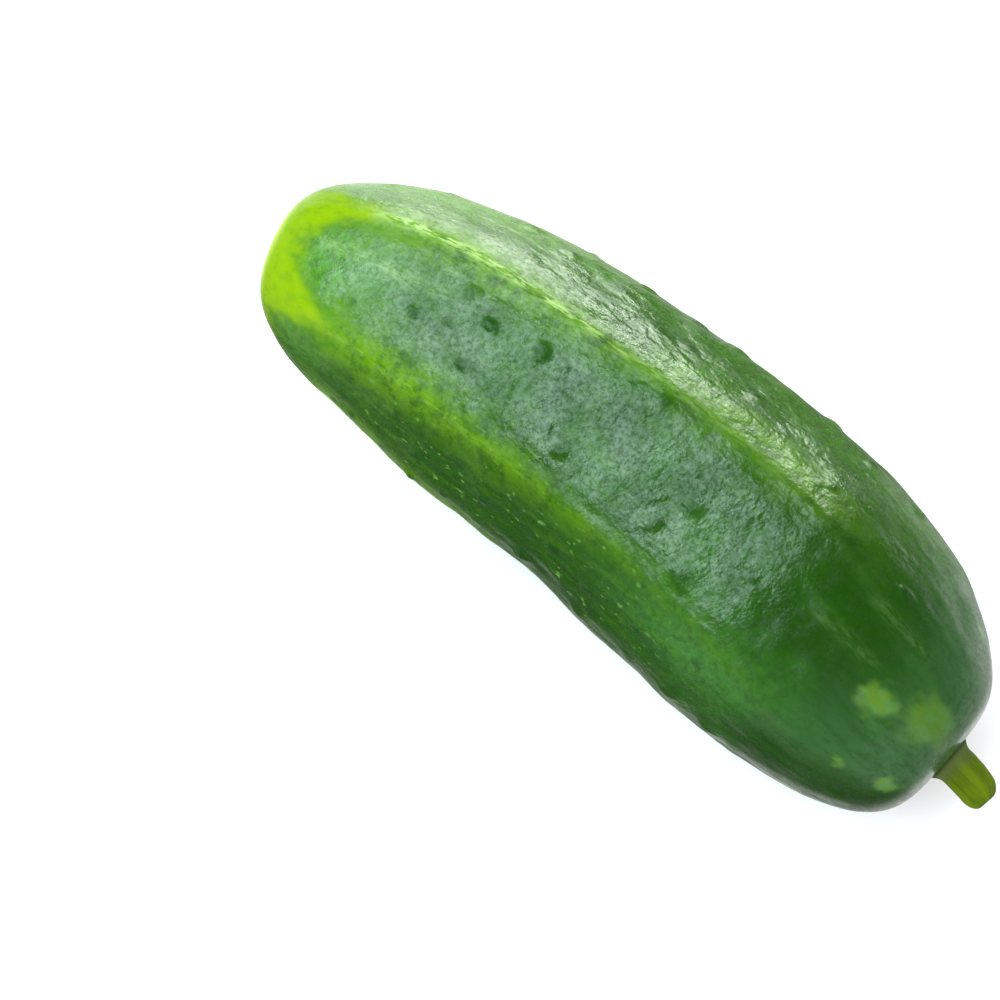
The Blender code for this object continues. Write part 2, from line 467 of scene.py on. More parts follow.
class Nodes:
    """A node tree and short calls that add nodes to it."""

    def __init__(self, tree: bpy.types.NodeTree) -> None:
        """Takes the tree."""
        self.tree = tree

    def node(self, kind: str, **settings: object) -> bpy.types.Node:
        """Adds a node with these settings.

        Args:
            kind: Blender's name for the node.
            settings: its properties by name.

        Returns:
            The node.
        """
        node = self.tree.nodes.new(kind)
        for name, value in settings.items():
            setattr(node, name, value)
        return node

    def feed(self, socket: bpy.types.NodeSocket, value: object) -> None:
        """Links a socket to an input, or sets the input to a plain value.

        Args:
            socket: the input.
            value: an output socket, a number, a colour or a vector.
        """
        if isinstance(value, bpy.types.NodeSocket):
            self.tree.links.new(value, socket)
        elif isinstance(value, tuple) and len(value) == 3 and socket.type == "RGBA":
            socket.default_value = (*value, 1.0)
        else:
            socket.default_value = value

    def sum(self, operation: str, first: object, second: object) -> bpy.types.NodeSocket:
        """One step of arithmetic on two numbers.

        Args:
            operation: Blender's name for the step.
            first: a number or a socket.
            second: a number or a socket.

        Returns:
            The result's socket.
        """
        step = self.node("ShaderNodeMath", operation=operation)
        self.feed(step.inputs[0], first)
        self.feed(step.inputs[1], second)
        return step.outputs[0]

    def span(self, value: object, low: float, high: float, to_low: float = 0.0,
             to_high: float = 1.0) -> bpy.types.NodeSocket:
        """A number brought smoothly from one range to another, and held at its ends.

        Args:
            value: the number.
            low: where its range starts.
            high: where its range ends.
            to_low: what the start becomes.
            to_high: what the end becomes.

        Returns:
            The result's socket.
        """
        step = self.node("ShaderNodeMapRange", interpolation_type="SMOOTHSTEP")
        for socket, setting in zip(step.inputs, (value, low, high, to_low, to_high)):
            self.feed(socket, setting)
        return step.outputs[0]


class Paint(Nodes):
    """A material and short calls that add nodes to it."""

    def __init__(self, name: str) -> None:
        """Makes a material with its shader.

        Args:
            name: the material's name.
        """
        self.material = bpy.data.materials.new(name)
        self.material.use_nodes = True
        super().__init__(self.material.node_tree)
        self.shader = self.tree.nodes["Principled BSDF"]

    def field(self, name: str) -> bpy.types.NodeSocket:
        """A number stored on the mesh."""
        return self.node("ShaderNodeAttribute", attribute_name=name).outputs["Fac"]

    def place(self, name: str, stretch: float = 1.0) -> bpy.types.NodeSocket:
        """A vector stored on the mesh, its first number multiplied, so that low values draw streaks.

        Args:
            name: the vector's name.
            stretch: what its first number is multiplied by.

        Returns:
            The vector's socket.
        """
        attribute = self.node("ShaderNodeAttribute", attribute_name=name)
        scaled = self.node("ShaderNodeVectorMath", operation="MULTIPLY")
        self.feed(scaled.inputs[0], attribute.outputs["Vector"])
        scaled.inputs[1].default_value = (stretch, 1.0, 1.0)
        return scaled.outputs[0]

    def times(self, first: object, second: object) -> bpy.types.NodeSocket:
        """One number multiplied by another."""
        return self.sum("MULTIPLY", first, second)

    def clouds(self, place: bpy.types.NodeSocket, clouds: Clouds) -> bpy.types.NodeSocket:
        """Noise, about 0.3 to 0.7.

        Args:
            place: where it is looked up.
            clouds: its sizes.

        Returns:
            The noise's socket.
        """
        texture = self.node("ShaderNodeTexNoise")
        self.feed(texture.inputs["Vector"], place)
        texture.inputs["Scale"].default_value = 1.0 / clouds.size
        texture.inputs["Detail"].default_value = clouds.detail
        texture.inputs["Roughness"].default_value = clouds.roughness
        return texture.outputs[0]

    def ranged(self, value: bpy.types.NodeSocket, clouds: Clouds) -> bpy.types.NodeSocket:
        """Noise brought to its range."""
        return self.span(value, clouds.low, clouds.high, clouds.to_low, clouds.to_high)

    def amount(self, place: bpy.types.NodeSocket, clouds: Clouds) -> bpy.types.NodeSocket:
        """New noise brought to its range."""
        return self.ranged(self.clouds(place, clouds), clouds)

    def pebbles(self, place: bpy.types.NodeSocket, size: float) -> bpy.types.NodeSocket:
        """Rounded cells of this size in millimetres.

        Args:
            place: where they are looked up.
            size: how wide a cell is.

        Returns:
            The socket of the distance from a cell's middle.
        """
        texture = self.node("ShaderNodeTexVoronoi", feature="SMOOTH_F1")
        self.feed(texture.inputs["Vector"], place)
        texture.inputs["Scale"].default_value = 1.0 / size
        return texture.outputs["Distance"]

    def mix(self, amount: object, first: object, second: object) -> bpy.types.NodeSocket:
        """The first colour, with this amount of the second.

        Args:
            amount: how much of the second.
            first: a colour.
            second: another.

        Returns:
            The mixed colour's socket.
        """
        step = self.node("ShaderNodeMix", data_type="RGBA")
        self.feed(step.inputs[0], amount)
        self.feed(step.inputs[6], first)
        self.feed(step.inputs[7], second)
        return step.outputs[2]

    def bump(self, height: bpy.types.NodeSocket, depth: float,
             before: bpy.types.NodeSocket | None = None) -> bpy.types.NodeSocket:
        """A normal tilted by a height field, with its full depth in millimetres, over an earlier one.

        Args:
            height: the height field, from 0 to 1.
            depth: its full depth in millimetres.
            before: the normal that it is laid over.

        Returns:
            The new normal's socket.
        """
        step = self.node("ShaderNodeBump")
        step.inputs["Strength"].default_value = 1.0
        step.inputs["Distance"].default_value = depth * MM
        self.feed(step.inputs["Height"], height)
        if before is not None:
            self.feed(step.inputs["Normal"], before)
        return step.outputs["Normal"]

    def finish(self, colour: object, roughness: object, normal: bpy.types.NodeSocket, ior: float,
               gloss: object = 0.5, tint: Colour = (1.0, 1.0, 1.0)) -> bpy.types.Material:
        """Feeds the shader and returns the material.

        Args:
            colour: the base colour.
            roughness: how matt it is.
            normal: its surface's normal.
            ior: its index of refraction.
            gloss: how strongly it shines.
            tint: the colour of its shine.

        Returns:
            The material.
        """
        self.feed(self.shader.inputs["Specular Tint"], tint)
        self.feed(self.shader.inputs["Base Color"], colour)
        self.feed(self.shader.inputs["Roughness"], roughness)
        self.feed(self.shader.inputs["Normal"], normal)
        self.feed(self.shader.inputs["Specular IOR Level"], gloss)
        self.shader.inputs["IOR"].default_value = ior
        return self.material


@dataclass(frozen=True)
class SkinFinish:
    """Waxy skin: dark green between yellow-green ribs, lime at the blossom end, with a leathery grain."""

    deep: Colour = (0.007, 0.037, 0.002)
    green: Colour = (0.015, 0.074, 0.004)
    young: Colour = (0.046, 0.170, 0.010)
    side: Colour = (0.012, 0.060, 0.002)
    side_patch: Colour = (0.032, 0.125, 0.018)
    far_side: Colour = (0.042, 0.140, 0.006)
    far_tip: Colour = (0.110, 0.300, 0.010)
    rib: Colour = (0.075, 0.185, 0.000)
    line: Colour = (0.340, 0.500, 0.160)
    lime: Colour = (0.150, 0.265, 0.000)
    # painted glow: a pale yellow ring round the blossom dimple, for the pale lit edge there
    rim: Colour = (0.300, 0.410, 0.020)
    stem_end: Colour = (0.028, 0.088, 0.026)
    stem_end_strength: float = 0.9
    # painted shade, partly the skin's own darkest green: on top and underneath near the stem, and on the side
    dark_green_and_shade: Colour = (0.006, 0.038, 0.000)
    blotch: Colour = (0.095, 0.190, 0.010)
    pale_blotch: Colour = (0.090, 0.205, 0.040)
    # the warts' darker green, partly painted shade on and round each wart
    wart: Colour = (0.005, 0.030, 0.006)
    fleck: Colour = (0.110, 0.250, 0.040)
    patches: Clouds = Clouds(9.0, 5.0, 0.62)
    streaks: Clouds = Clouds(1.7, 3.0, 0.6, 0.42, 0.72, 0.0, 0.34)
    streak_stretch: float = 0.16
    speckle: Clouds = Clouds(1.5, 5.0, 0.72, 0.42, 0.62, 0.0, 0.45)
    rib_mottle: Clouds = Clouds(2.4, 6.0, 0.68, 0.36, 0.58, 0.2, 1.0)
    veins: Clouds = Clouds(1.5, 4.0, 0.65, 0.44, 0.66, 0.0, 0.55)
    vein_stretch: float = 0.1
    dark_green_and_shade_streaks: Clouds = Clouds(3.0, 3.0, 0.5, 0.3, 0.6, 0.6, 1.0)
    lime_wear: Clouds = Clouds(1.4, 4.0, 0.6, 0.36, 0.56, 0.74, 1.0)
    strands: Clouds = Clouds(0.6, 4.0, 0.65, 0.42, 0.60, 0.1, 1.0)
    strand_stretch: float = 0.2
    flecks: Clouds = Clouds(0.9, 2.0, 0.5, 0.64, 0.74)
    fleck_stretch: float = 0.5
    blotch_mottle: Clouds = Clouds(2.4, 4.0, 0.6, 0.4, 0.6)
    wart_mottle: Clouds = Clouds(0.9, 3.0, 0.6, 0.38, 0.60, 0.20, 0.70)
    satin: Clouds = Clouds(4.0, 5.0, 0.7, 0.35, 0.65, 0.18, 0.33)
    rib_roughness: float = 0.10
    wax: Clouds = Clouds(0.80, 5.0, 0.80, 0.36, 0.62, 0.20, 0.74)
    wax_patches: Clouds = Clouds(6.0, 4.0, 0.6, 0.36, 0.62, 0.62, 1.12)
    wart_gloss: float = 0.45
    dull_gloss: float = 0.15
    leather_patches: Clouds = Clouds(5.0, 3.0, 0.6, 0.36, 0.60, 0.45, 1.0)
    hollows: Clouds = Clouds(3.6, 3.0, 0.55)
    hollow_depth: float = 0.27
    wrinkles: Clouds = Clouds(0.62, 4.0, 0.62)
    wrinkle_depth: float = 0.072
    knobble_patches: Clouds = Clouds(6.0, 3.0, 0.5, 0.48, 0.58)
    knobbles: Clouds = Clouds(1.0, 3.0, 0.6)
    knobble_depth: float = 0.21
    pebble_size: float = 0.34
    pebble_depth: float = 0.04
    sheen: Colour = (0.84, 1.00, 0.80)
    ior: float = 1.5

    def make(self) -> bpy.types.Material:
        """The finished material.

        Returns:
            The material.
        """
        paint = Paint("cucumber_skin")
        colour, normal = self.colour(paint), self.normal(paint)
        return paint.finish(colour, self.roughness(paint), normal, self.ior, self.gloss(paint), self.sheen)

    def colour(self, paint: Paint) -> bpy.types.NodeSocket:
        """Base green, then ribs, stem end, painted shade, blossom end, flecks, blotches, a painted pale glow
        at the blossom rim and warts, darkened partly as painted shade, over it.

        Args:
            paint: the material to add nodes to.

        Returns:
            The colour's socket.
        """
        place = paint.place("straight")
        streaky = paint.place("straight", self.streak_stretch)
        flat = paint.place("unrolled")
        colour = paint.mix(paint.amount(place, self.patches), self.deep, self.green)
        areas = {
            "young": self.young, "side": self.side, "side_patch": self.side_patch,
            "far_side": self.far_side, "far_tip": self.far_tip,
        }
        for name, area in areas.items():
            colour = paint.mix(paint.field(name), colour, area)
        streaks = paint.times(paint.amount(streaky, self.streaks), paint.field("streaked"))
        colour = paint.mix(streaks, colour, self.rib)
        colour = paint.mix(paint.amount(flat, self.speckle), colour, self.deep)
        band = paint.times(paint.field("band"), paint.amount(place, self.rib_mottle))
        colour = paint.mix(band, colour, self.rib)
        stem_end = paint.field("stem_end")
        colour = paint.mix(paint.times(stem_end, self.stem_end_strength), colour, self.stem_end)
        veins = paint.amount(paint.place("straight", self.vein_stretch), self.veins)
        colour = paint.mix(paint.times(stem_end, veins), colour, self.deep)
        # painted shade, partly the skin's own darkest green, broken into streaks
        dark_green_and_shade = paint.times(paint.field("dark_green_and_shade"), paint.amount(streaky, self.dark_green_and_shade_streaks))
        colour = paint.mix(dark_green_and_shade, colour, self.dark_green_and_shade)
        lime = paint.times(paint.field("lime"), paint.amount(streaky, self.lime_wear))
        colour = paint.mix(lime, colour, self.lime)
        strands = paint.amount(paint.place("straight", self.strand_stretch), self.strands)
        colour = paint.mix(paint.times(paint.field("line"), strands), colour, self.line)
        flecks = paint.amount(paint.place("straight", self.fleck_stretch), self.flecks)
        colour = paint.mix(paint.times(flecks, paint.field("flecked")), colour, self.fleck)
        mottled = paint.mix(paint.amount(place, self.blotch_mottle), self.blotch, self.pale_blotch)
        colour = paint.mix(paint.field("blotch"), colour, mottled)
        # painted glow: the pale ring round the blossom dimple
        colour = paint.mix(paint.field("rim"), colour, self.rim)
        # warts painted darker, partly their own green and partly painted shade
        wart = paint.times(paint.field("wart"), paint.amount(flat, self.wart_mottle))
        return paint.mix(wart, colour, self.wart)

    def roughness(self, paint: Paint) -> bpy.types.NodeSocket:
        """Satin wax, worn glossier in patches and duller on the ribs."""
        worn = paint.amount(paint.place("unrolled"), self.satin)
        return paint.sum("ADD", worn, paint.times(paint.field("band"), self.rib_roughness))

    def gloss(self, paint: Paint) -> bpy.types.NodeSocket:
        """How strongly the wax shines: thin in fine spots and in patches, and least on the ribs.

        Args:
            paint: the material to add nodes to.

        Returns:
            The socket for the specular level.
        """
        flat = paint.place("unrolled")
        wax = paint.times(paint.amount(flat, self.wax), paint.amount(flat, self.wax_patches))
        wax = paint.times(wax, paint.span(paint.field("wart"), 0.1, 0.9, 1.0, self.wart_gloss))
        return paint.times(wax, paint.span(paint.field("dull"), 0.0, 1.0, 1.0, self.dull_gloss))

    def normal(self, paint: Paint) -> bpy.types.NodeSocket:
        """Leathery dents of every size, fine pebbles, and coarse knobbles in patches of the far face.

        Args:
            paint: the material to add nodes to.

        Returns:
            The normal's socket.
        """
        flat = paint.place("unrolled")
        leathery = paint.times(paint.field("leathery"), paint.amount(flat, self.leather_patches))
        knobbly = paint.times(paint.field("knobbly"), paint.amount(flat, self.knobble_patches))
        normal = paint.bump(paint.times(paint.clouds(flat, self.hollows), leathery), self.hollow_depth)
        wrinkles = paint.times(paint.clouds(flat, self.wrinkles), leathery)
        normal = paint.bump(wrinkles, self.wrinkle_depth, normal)
        knobbles = paint.times(paint.clouds(flat, self.knobbles), knobbly)
        normal = paint.bump(knobbles, self.knobble_depth, normal)
        pebbles = paint.times(paint.pebbles(flat, self.pebble_size), leathery)
        return paint.bump(pebbles, self.pebble_depth, normal)


@dataclass(frozen=True)
class StemFinish:
    """Matt stalk: olive-lime, greyer where it leaves the fruit, paler along its angles and at the cut."""

    body: Colour = (0.058, 0.094, 0.000)
    base: Colour = (0.090, 0.125, 0.034)
    base_strength: float = 0.85
    seam: Colour = (0.036, 0.052, 0.012)
    angle: Colour = (0.125, 0.180, 0.003)
    angle_strength: float = 0.45
    cut: Colour = (0.150, 0.210, 0.015)
    cut_strength: float = 0.6
    fibres: Clouds = Clouds(0.35, 3.0, 0.6, 0.35, 0.65, 0.0, 0.35)
    fibre_stretch: float = 0.12
    fibre_depth: float = 0.05
    dents: Clouds = Clouds(0.9, 3.0, 0.6)
    roughness: float = 0.55
    gloss: float = 0.15
    ior: float = 1.3

    def make(self) -> bpy.types.Material:
        """The finished material.

        Returns:
            The material.
        """
        paint = Paint("cucumber_stem")
        fibres = paint.clouds(paint.place("straight", self.fibre_stretch), self.fibres)
        dents = paint.clouds(paint.place("straight"), self.dents)
        colour = paint.mix(paint.ranged(fibres, self.fibres), self.body, self.angle)
        colour = paint.mix(paint.times(paint.field("angle"), self.angle_strength), colour, self.angle)
        colour = paint.mix(paint.times(paint.field("base"), self.base_strength), colour, self.base)
        colour = paint.mix(paint.field("seam"), colour, self.seam)
        colour = paint.mix(paint.times(paint.field("cut"), self.cut_strength), colour, self.cut)
        normal = paint.bump(fibres, self.fibre_depth)
        normal = paint.bump(dents, self.fibre_depth, normal)
        return paint.finish(colour, self.roughness, normal, self.ior, self.gloss)


@dataclass(frozen=True)
class CorkFinish:
    """Dry cork: cream, mottled with brown-olive, dark in its slits and hole."""

    cream: Colour = (0.740, 0.610, 0.430)
    tan: Colour = (0.520, 0.390, 0.230)
    olive: Colour = (0.170, 0.150, 0.050)
    dark: Colour = (0.045, 0.038, 0.012)
    nub: Colour = (0.760, 0.640, 0.560)
    slit_strength: float = 0.85
    mottle: Clouds = Clouds(1.5, 4.0, 0.65, 0.42, 0.60)
    flake_size: float = 0.7
    flake_depth: float = 0.12
    crumbs: Clouds = Clouds(0.3, 3.0, 0.65, 0.58, 0.72, 0.0, 0.6)
    crumb_depth: float = 0.06
    roughness: float = 0.85
    ior: float = 1.45

    def make(self) -> bpy.types.Material:
        """The finished material.

        Returns:
            The material.
        """
        paint = Paint("cucumber_cork")
        place = paint.place("straight")
        crumbs = paint.clouds(place, self.crumbs)
        colour = paint.mix(paint.amount(place, self.mottle), self.cream, self.tan)
        colour = paint.mix(paint.ranged(crumbs, self.crumbs), colour, self.olive)
        colour = paint.mix(paint.field("nub"), colour, self.nub)
        colour = paint.mix(paint.times(paint.field("slit"), self.slit_strength), colour, self.olive)
        colour = paint.mix(paint.field("hole"), colour, self.dark)
        normal = paint.bump(paint.pebbles(place, self.flake_size), self.flake_depth)
        normal = paint.bump(crumbs, self.crumb_depth, normal)
        return paint.finish(colour, self.roughness, normal, self.ior)


@dataclass(frozen=True)
class FloorFinish:
    """A plain pale matt surface."""

    colour: Colour = (0.94, 0.94, 0.94)

    def make(self) -> bpy.types.Material:
        """The finished material.

        Returns:
            The material.
        """
        paint = Paint("studio_floor")
        paint.feed(paint.shader.inputs["Base Color"], self.colour)
        paint.shader.inputs["Roughness"].default_value = 1.0
        paint.shader.inputs["Specular IOR Level"].default_value = 0.0
        return paint.material


@dataclass(frozen=True)
class Zone:
    """A soft patch of skin: its middle and reach along the fruit, its arc round it, and its strength."""

    along: float
    reach: float
    arc: Arc
    strength: float = 1.0

    def over(self, along: Field, angle: Field) -> Field:
        """How much each place belongs to it."""
        return self.strength * hill(along - self.along, self.reach) * within(angle, self.arc)


class Skin:
    """Places on the skin, and how far each is from the ribs in millimetres."""

    wander_size: float = 9.0
    rib_wander: float = 0.35

    def __init__(self, shape: SkinShape, along: Field, angle: Field) -> None:
        """Works out the distances.

        Args:
            shape: the fruit's form.
            along: places along the fruit.
            angle: directions round it.
        """
        self.along, self.angle = along, angle
        self.radius = shape.body_radius(along)
        self.straight = straight(along, angle, self.radius)
        self.wander = ripple(self.straight, self.wander_size, 2, 21.0)
        self.from_rib = shape.from_rib(along, angle) * self.radius + self.rib_wander * self.wander
        wound = shape.wound(along, angle)
        self.from_lower = turn_between(wound, shape.ribs[-1]) * self.radius
        self.from_upper = turn_between(wound, shape.ribs[0]) * self.radius
        self.ribbed = shape.ribbed(along)


@dataclass(frozen=True)
class Pattern:
    """Where each part of the skin's finish lies.

    A ramp is where a change starts along the fruit and its length, both in millimetres. An arc is a
    direction round the fruit and its reach to either side, both in degrees.
    """

    band_width: float = 4.6
    band_narrowing: float = 2.6
    band_narrows: Ramp = (12.0, 60.0)
    band_fading: float = 0.72
    band_fades: Ramp = (20.0, 60.0)
    band_ends: Ramp = (78.0, 26.0)
    crest_band: Arc = (26.0, 12.0)
    crest_band_starts: Ramp = (50.0, 12.0)
    crest_band_strength: float = 0.7
    line_width: float = 0.75
    line_starts: Ramp = (9.0, 8.0)
    line_strength: float = 0.92
    line_fading: float = 0.74
    line_fades: Ramp = (34.0, 30.0)
    line_ends: Ramp = (98.0, 14.0)
    line_reach: float = 3.0
    lower_line_fading: float = 0.86
    lower_line_ends: Ramp = (70.0, 20.0)
    upper_line_ends: Ramp = (66.0, 22.0)
    pale_streaks: tuple[tuple[float, float, float, float, float], ...] = (
        (4.0, 32.0, -5.0, 0.0, 0.22), (91.0, 106.0, -9.0, -4.0, 0.055), (95.0, 110.0, 11.0, 15.0, 0.06),
    )
    streak_width: float = 0.9
    streak_wander: float = 0.5
    streak_tapers: tuple[float, float] = (0.25, 0.35)
    lime_length: float = 0.9
    lime_on_lower: float = 9.0
    lime_on_others: float = 3.0
    lime_on_upper: float = 6.5
    lime_rib_width: float = 2.6
    lime_upper_width: float = 3.2
    lime_wander: float = 1.6
    lime_raggedness: float = 1.8
    lime_ragged_size: float = 1.3
    lime_ragged_stretch: float = 0.3
    lime_fade: float = 7.5
    rim_width: float = 0.9
    lower_dullness: float = 0.9
    lower_dull_width: float = 2.4
    lower_dull_ends: Ramp = (50.0, 30.0)
    upper_dullness: float = 0.55
    upper_dull_width: float = 1.6
    upper_dull_shift: float = 0.2
    upper_dull_ends: Ramp = (70.0, 20.0)
    dark_green_and_shade_dullness: float = 0.5
    young: Arc = (-25.0, 72.0)
    young_ends: Ramp = (7.0, 24.0)
    side: Arc = (-88.0, 52.0)
    side_starts: Ramp = (8.0, 22.0)
    side_least: float = 0.2
    side_ends: Ramp = (62.0, 34.0)
    side_patch: Zone = Zone(86.0, 16.0, (-55.0, 16.0))
    streaked_least: float = 0.35
    streaked_fading: float = 0.6
    flecked_starts: Ramp = (18.0, 10.0)
    far_side: Arc = (82.0, 38.0)
    far_side_fading: float = 0.5
    far_tip_strength: float = 0.9
    far_tip_ends: Ramp = (14.0, 40.0)
    stem_end_starts: Ramp = (92.0, 18.0)
    # where shade is painted, partly over the skin's own darkest green: on top, on the side and underneath
    # near the stem
    stem_end_dark_green_and_shade: float = 0.8
    top_dark_green_and_shade: Zone = Zone(96.5, 12.5, (5.0, 38.0))
    side_dark_green_and_shade: Zone = Zone(63.0, 14.0, (-88.0, 32.0), 0.6)
    under_shade_middle: float = math.radians(50.0)
    under_shade_edge: Ramp = (math.radians(93.0), math.radians(25.0))
    under_shade_starts: Ramp = (91.0, 12.0)
    leather_starts: Ramp = (1.0, 6.0)
    leather_stops: Ramp = (86.0, 9.0)
    leather_stopping: float = 0.85
    blossom_calm: float = 0.38
    blossom_calm_ends: Ramp = (24.0, 18.0)
    blossom_calm_edge: Ramp = (0.2, 0.2)
    side_calm: float = 0.65
    far_calm: float = 0.45
    far_calm_arc: Arc = (58.0, 22.0)
    band_calm: float = 0.5
    seam_reach: float = 4.0
    knobbly: Arc = (40.0, 20.0)
    knobbly_starts: Ramp = (30.0, 12.0)
    knobbly_ends: Ramp = (92.0, 12.0)
    blotch_seed: int = 5
    blotches: tuple[tuple[float, float, float, float], ...] = (
        (106.8, -14.3, 2.2, 0.62), (112.8, -6.0, 3.2, 0.45),
        (108.5, -48.0, 0.9, 0.6), (114.3, -52.0, 1.3, 0.7),
    )
    drawn_blotches: int = 7
    blotch_limits: tuple[tuple[float, float], ...] = ((102.0, 115.0), (60.0, 280.0), (1.0, 2.2))
    drawn_blotch_strength: float = 0.7
    blotch_raggedness: float = 1.3
    blotch_ragged_size: float = 2.6
    blotch_edge: tuple[float, float] = (0.6, 0.8)

    def band(self, skin: Skin) -> Field:
        """The ribs' pale bands, and one that lasts just beyond the far crest.

        Args:
            skin: the places.

        Returns:
            Values from 0 to 1.
        """
        width = self.band_width - self.band_narrowing * rise(skin.along, self.band_narrows)
        band = hill(skin.from_rib / width, 1.0) * (1.0 - self.band_fading * rise(skin.along, self.band_fades))
        lasting = within(skin.angle, self.crest_band) * rise(skin.along, self.crest_band_starts)
        return np.maximum(band, self.crest_band_strength * lasting) * fall(skin.along, self.band_ends)

    def line(self, skin: Skin) -> Field:
        """The thin pale lines on the ribs' crests, and a few short streaks between them.

        Args:
            skin: the places.

        Returns:
            Values from 0 to 1.
        """
        line = hill(skin.from_rib, self.line_width) * rise(skin.along, self.line_starts)
        line = line * (self.line_strength - self.line_fading * rise(skin.along, self.line_fades))
        line = line * fall(skin.along, self.line_ends)
        lower, upper = hill(skin.from_lower, self.line_reach), hill(skin.from_upper, self.line_reach)
        line = line * (1.0 - self.lower_line_fading * lower)
        line = line * (1.0 - lower * rise(skin.along, self.lower_line_ends))
        line = line * (1.0 - upper * rise(skin.along, self.upper_line_ends))
        for first, last, first_angle, last_angle, strength in self.pale_streaks:
            part = (skin.along - first) / (last - first)
            middle = np.radians(first_angle + (last_angle - first_angle) * part)
            distance = turn_between(skin.angle, middle) * skin.radius + self.streak_wander * skin.wander
            start, end = self.streak_tapers
            tapered = smooth_step(part / start) * smooth_step((1.0 - part) / end)
            line = np.maximum(line, strength * hill(distance, self.streak_width) * tapered)
        return line

    def lime(self, skin: Skin) -> Field:
        """The blossom end's lime, which runs further along the ribs.

        Args:
            skin: the places.

        Returns:
            Values from 0 to 1.
        """
        lower = hill(skin.from_lower, self.lime_rib_width)
        upper = hill(skin.from_upper, self.lime_upper_width)
        others = hill(skin.from_rib, self.lime_rib_width) * (1.0 - lower)
        end = self.lime_length + self.lime_on_lower * lower + self.lime_on_others * others
        end = end + self.lime_on_upper * upper + self.lime_wander * skin.wander
        streaky = skin.straight * (self.lime_ragged_stretch, 1.0, 1.0)
        end = end + self.lime_raggedness * ripple(streaky, self.lime_ragged_size, 4, 33.0)
        return fall(skin.along - end, (0.0, self.lime_fade))

    def dull(self, skin: Skin, lime: Field) -> Field:
        """Where the wax hardly shines: the lime end, the near ribs' crests and the top of the stem end, where
        shade is painted.

        Args:
            skin: the places.
            lime: the lime's field.

        Returns:
            Values from 0 to 1.
        """
        lower = self.lower_dullness * hill(skin.from_lower, self.lower_dull_width)
        upper = self.upper_dullness * hill(skin.from_upper - self.upper_dull_shift, self.upper_dull_width)
        dark_green_and_shade = self.dark_green_and_shade_dullness * self.top_dark_green_and_shade.over(skin.along, skin.angle)
        crests = np.maximum(lower * fall(skin.along, self.lower_dull_ends),
                            upper * fall(skin.along, self.upper_dull_ends))
        return np.maximum(np.maximum(lime, crests), dark_green_and_shade)

    def dark_green_and_shade(self, skin: Skin) -> Field:
        """The darkest green, partly painted shade: on top and underneath near the stem, and on the side;
        along the bottom edge underneath it is painted shade.

        Args:
            skin: the places.

        Returns:
            Values from 0 to 1.
        """
        from_middle = np.abs(turn_between(skin.angle, self.under_shade_middle))
        under = rise(from_middle, self.under_shade_edge) * rise(skin.along, self.under_shade_starts)
        top, side = (zone.over(skin.along, skin.angle) for zone in (self.top_dark_green_and_shade, self.side_dark_green_and_shade))
        return np.maximum(np.maximum(top, under), side)

    def leathery(self, skin: Skin, side: Field, band: Field) -> Field:
        """How deep the grain is: calmer at both ends, on the side, by the ribs and along the belly's seam.

        Args:
            skin: the places.
            side: the side's field.
            band: the bands' field.

        Returns:
            Values from 0 to 1.
        """
        leathery = rise(skin.along, self.leather_starts)
        leathery = leathery * (1.0 - self.leather_stopping * rise(skin.along, self.leather_stops))
        blossom = fall(skin.along, self.blossom_calm_ends) * fall(skin.angle, self.blossom_calm_edge)
        leathery = leathery * (1.0 - self.side_calm * side) * (1.0 - self.blossom_calm * blossom)
        leathery = leathery * (1.0 - self.far_calm * within(skin.angle, self.far_calm_arc))
        from_seam = (math.pi - np.abs(skin.angle)) * skin.radius
        return leathery * (1.0 - self.band_calm * band) * rise(from_seam, (0.0, self.seam_reach))

    def blotch(self, skin: Skin) -> Field:
        """Pale ragged patches near the stem: those of the near side, then a seeded few.

        Args:
            skin: the places.

        Returns:
            Values from 0 to 1.
        """
        draw = random.Random(self.blotch_seed)
        places = list(self.blotches)
        for _ in range(self.drawn_blotches):
            drawn = [draw.uniform(*limits) for limits in self.blotch_limits]
            places.append((*drawn, self.drawn_blotch_strength))
        ragged = self.blotch_raggedness * ripple(skin.straight, self.blotch_ragged_size, 4, 40.0)
        covered = np.zeros_like(skin.along)
        for place, degrees, reach, strength in places:
            across = turn_between(skin.angle, math.radians(degrees)) * skin.radius
            distance = np.hypot(skin.along - place, across) + ragged
            edge = (self.blotch_edge[0] * reach, self.blotch_edge[1] * reach)
            covered = np.maximum(covered, strength * fall(distance, edge))
        return covered

